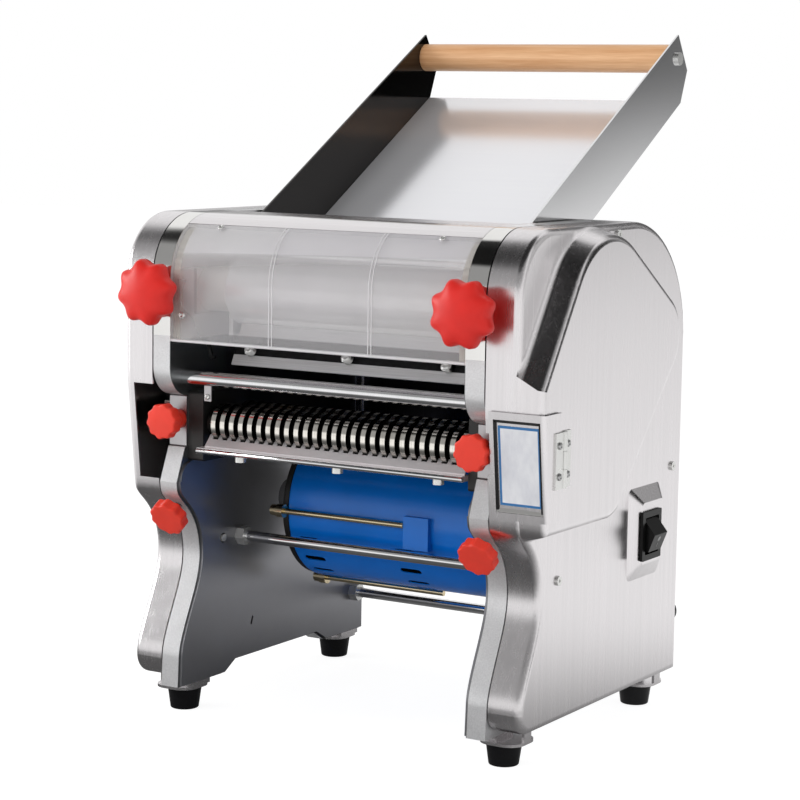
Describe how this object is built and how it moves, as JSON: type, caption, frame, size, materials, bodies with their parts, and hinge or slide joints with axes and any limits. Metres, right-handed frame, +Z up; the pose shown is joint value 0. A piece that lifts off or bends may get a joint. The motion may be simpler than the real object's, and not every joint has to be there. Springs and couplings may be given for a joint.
{
  "type": "electric pasta maker",
  "caption": "Electric pasta maker: motor-driven dough rollers over noodle cutters, red adjusting knobs, clear guard and a sloping feed tray with a wooden roller.",
  "frame": {"origin": "on the floor, under the middle of the whole machine's box", "axes": "+X to the user's right, +Y to the back, +Z up"},
  "size_m": [0.3512, 0.3832, 0.507],
  "materials": {
    "stainless": "brushed, upright grain",
    "polished_aluminium": "polished",
    "chrome": "mirror",
    "steel": "machined",
    "dark_steel": "blackened",
    "grey_casting": "fine cast",
    "motor_blue": "gloss enamel",
    "red_plastic": "satin moulding",
    "black_plastic": "fine grain",
    "black_rubber": "moulded",
    "clear_plastic": "clear acrylic",
    "cream_plastic": "smooth",
    "pale_label": "satin film, plain",
    "beech": "turned, bare",
    "brass": "turned"
  },
  "bodies": {
    "machine": {"bearing_bushes": "brass", "cord_gland": "black_plastic", "cutter_blocks": "polished_aluminium", "cutter_combs": "stainless", "cutter_end_plates": "dark_steel", "drive_belt": "black_rubber", "feet": "black_rubber", "foot_brackets": "stainless", "frame_caps": "polished_aluminium", "front_bar": "chrome", "guard": "clear_plastic", "guard_ends": "cream_plastic", "hinge_leaf_cover": "stainless", "idler_pin": "steel", "left_cover": "stainless", "lower_plates": "stainless", "motor_body": "motor_blue", "motor_bolts": "brass", "motor_cradle": "dark_steel", "motor_end_bells": "dark_steel", "rear_cover": "stainless", "right_cover": "stainless", "scraper_rear": "stainless", "screws": "steel", "side_frame_left": "polished_aluminium", "side_frame_right": "polished_aluminium", "switch_bezel": "black_plastic", "tie_rod_nuts": "steel", "tie_rods": "chrome", "top_cover": "stainless"},
    "front_carriage": {"bearing_blocks": "grey_casting", "scraper_front": "stainless"},
    "front_roller_body": {"front_roller": "chrome", "long_gear_front": "steel"},
    "rear_roller_body": {"rear_roller": "chrome", "long_gear_rear": "steel", "roller_drive_gears": "steel"},
    "countershaft_body": {"countershaft": "steel", "drive_pulley": "grey_casting"},
    "motor_shaft_body": {"motor_rotor": "steel", "motor_pulley": "grey_casting"},
    "idler_body": {"idler_gear": "steel"},
    "rear_cutter_body": {"cutter_roller_rear": "chrome", "cutter_gear": "steel"},
    "front_cutter_body": {"cutter_roller_front": "chrome"},
    "thickness_left_body": {"thickness_knob_left": "red_plastic", "thickness_spindle_left": "steel"},
    "thickness_right_body": {"thickness_knob_right": "red_plastic", "thickness_spindle_right": "steel"},
    "cutter_knob_left_body": {"cutter_knob_left": "red_plastic"},
    "cutter_knob_right_body": {"cutter_knob_right": "red_plastic"},
    "lower_knob_left_body": {"lower_knob_left": "red_plastic"},
    "lower_knob_right_body": {"lower_knob_right": "red_plastic"},
    "door_body": {"service_door": "stainless", "door_label": "pale_label", "hinge_leaf_door": "stainless"},
    "rocker_body": {"switch_rocker": "black_plastic"},
    "tray_body": {"feed_tray": "stainless", "tray_screws": "steel"},
    "wooden_roller_body": {"wooden_roller": "beech"}
  },
  "joints": [
    {"name": "motor_spin", "type": "hinge", "parent": "machine", "child": "motor_shaft_body", "pos_m": [-0.0118, -0.0131, 0.147], "axis": [1, 0, 0], "continuous": true},
    {"name": "countershaft_spin", "type": "hinge", "parent": "machine", "child": "countershaft_body", "pos_m": [-0.0118, -0.00894, 0.28178], "axis": [1, 0, 0], "continuous": true},
    {"name": "rear_roller_spin", "type": "hinge", "parent": "machine", "child": "rear_roller_body", "pos_m": [-0.0118, -0.0601, 0.315], "axis": [1, 0, 0], "continuous": true},
    {"name": "idler_spin", "type": "hinge", "parent": "machine", "child": "idler_body", "pos_m": [-0.0118, -0.0832, 0.26289], "axis": [1, 0, 0], "continuous": true},
    {"name": "rear_cutter_spin", "type": "hinge", "parent": "machine", "child": "rear_cutter_body", "pos_m": [-0.0118, -0.1031, 0.218], "axis": [1, 0, 0], "continuous": true},
    {"name": "front_cutter_spin", "type": "hinge", "parent": "machine", "child": "front_cutter_body", "pos_m": [-0.0118, -0.1291, 0.218], "axis": [1, 0, 0], "continuous": true},
    {"name": "dough_gap_slide", "type": "slide", "parent": "machine", "child": "front_carriage", "axis": [0, -1, 0], "range_m": [-0.0025, 0.0025]},
    {"name": "front_roller_spin", "type": "hinge", "parent": "front_carriage", "child": "front_roller_body", "pos_m": [-0.0118, -0.1131, 0.315], "axis": [1, 0, 0], "continuous": true},
    {"name": "thickness_knob_left_turn", "type": "hinge", "parent": "machine", "child": "thickness_left_body", "pos_m": [-0.1413, -0.1916, 0.315], "axis": [0, -1, 0], "range_deg": [-600, 600]},
    {"name": "cutter_knob_left_turn", "type": "hinge", "parent": "machine", "child": "cutter_knob_left_body", "pos_m": [-0.1401, -0.1661, 0.2205], "axis": [0, -1, 0], "range_deg": [0, 720]},
    {"name": "lower_knob_left_turn", "type": "hinge", "parent": "machine", "child": "lower_knob_left_body", "pos_m": [-0.1413, -0.1386, 0.1585], "axis": [0, -0.848, -0.5299], "range_deg": [0, 720]},
    {"name": "thickness_knob_right_turn", "type": "hinge", "parent": "machine", "child": "thickness_right_body", "pos_m": [0.1177, -0.1916, 0.315], "axis": [0, -1, 0], "range_deg": [-600, 600]},
    {"name": "cutter_knob_right_turn", "type": "hinge", "parent": "machine", "child": "cutter_knob_right_body", "pos_m": [0.1165, -0.1661, 0.2205], "axis": [0, -1, 0], "range_deg": [0, 720]},
    {"name": "lower_knob_right_turn", "type": "hinge", "parent": "machine", "child": "lower_knob_right_body", "pos_m": [0.1177, -0.1386, 0.1585], "axis": [0, -0.848, -0.5299], "range_deg": [0, 720]},
    {"name": "service_door_swing", "type": "hinge", "parent": "machine", "child": "door_body", "pos_m": [0.1726, -0.1373, 0.218], "axis": [0, 0, 1], "range_deg": [0, 110]},
    {"name": "rocker_switch_tilt", "type": "hinge", "parent": "machine", "child": "rocker_body", "pos_m": [0.1572, 0.0294, 0.1415], "axis": [0, 1, 0], "range_deg": [0, 18]},
    {"name": "feed_tray_lift_off", "type": "slide", "parent": "machine", "child": "tray_body", "axis": [0, 0.8616, 0.5075], "range_m": [0, 0.13]},
    {"name": "wooden_roller_spin", "type": "hinge", "parent": "tray_body", "child": "wooden_roller_body", "pos_m": [-0.0118, 0.1739, 0.48852], "axis": [1, 0, 0], "continuous": true}
  ],
  "couplings": [
    {"joint": "countershaft_spin", "follows": "motor_spin", "ratio": 0.27835},
    {"joint": "rear_roller_spin", "follows": "motor_spin", "ratio": -0.090766},
    {"joint": "front_roller_spin", "follows": "motor_spin", "ratio": 0.090766},
    {"joint": "idler_spin", "follows": "motor_spin", "ratio": 0.066012},
    {"joint": "rear_cutter_spin", "follows": "motor_spin", "ratio": -0.13615},
    {"joint": "front_cutter_spin", "follows": "motor_spin", "ratio": 0.13615},
    {"joint": "thickness_knob_left_turn", "follows": "dough_gap_slide", "rad_per_m": 4188.8},
    {"joint": "thickness_knob_right_turn", "follows": "dough_gap_slide", "rad_per_m": 4188.8}
  ]
}
